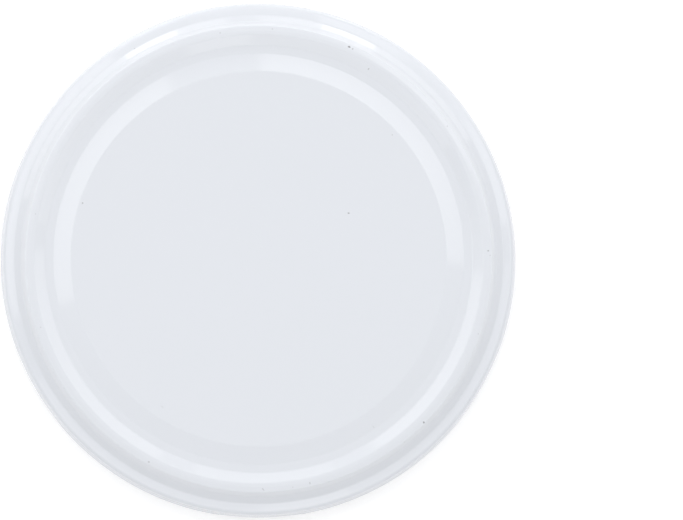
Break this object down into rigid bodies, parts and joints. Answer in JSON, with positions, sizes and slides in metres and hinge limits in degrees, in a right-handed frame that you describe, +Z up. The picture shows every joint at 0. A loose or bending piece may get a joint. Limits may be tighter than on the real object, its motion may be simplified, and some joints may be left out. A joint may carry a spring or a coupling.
{
  "type": "twist-off jar lid",
  "caption": "Round pressed tinplate jar lid with a flat panel, a sealing ridge, a rolled rim with inward lugs and a ring of sealing compound inside.",
  "frame": {"origin": "centre of the circle on which the rolled rim stands", "axes": "+Z up along the lid's axis, out of the panel; a lug lies at 30 degrees from +X towards +Y, and at every 60 degrees on"},
  "size_m": [0.085, 0.0848, 0.0098],
  "materials": {
    "white_lacquer": "smooth glossy white lacquer on tinplate, with a few small dark scuffs on the ridge and the panel's edge",
    "sealing_compound": "smooth satin off-white sealing compound"
  },
  "bodies": {
    "root": {"lid_shell": "white_lacquer", "sealing_ring": "sealing_compound"}
  },
  "joints": []
}
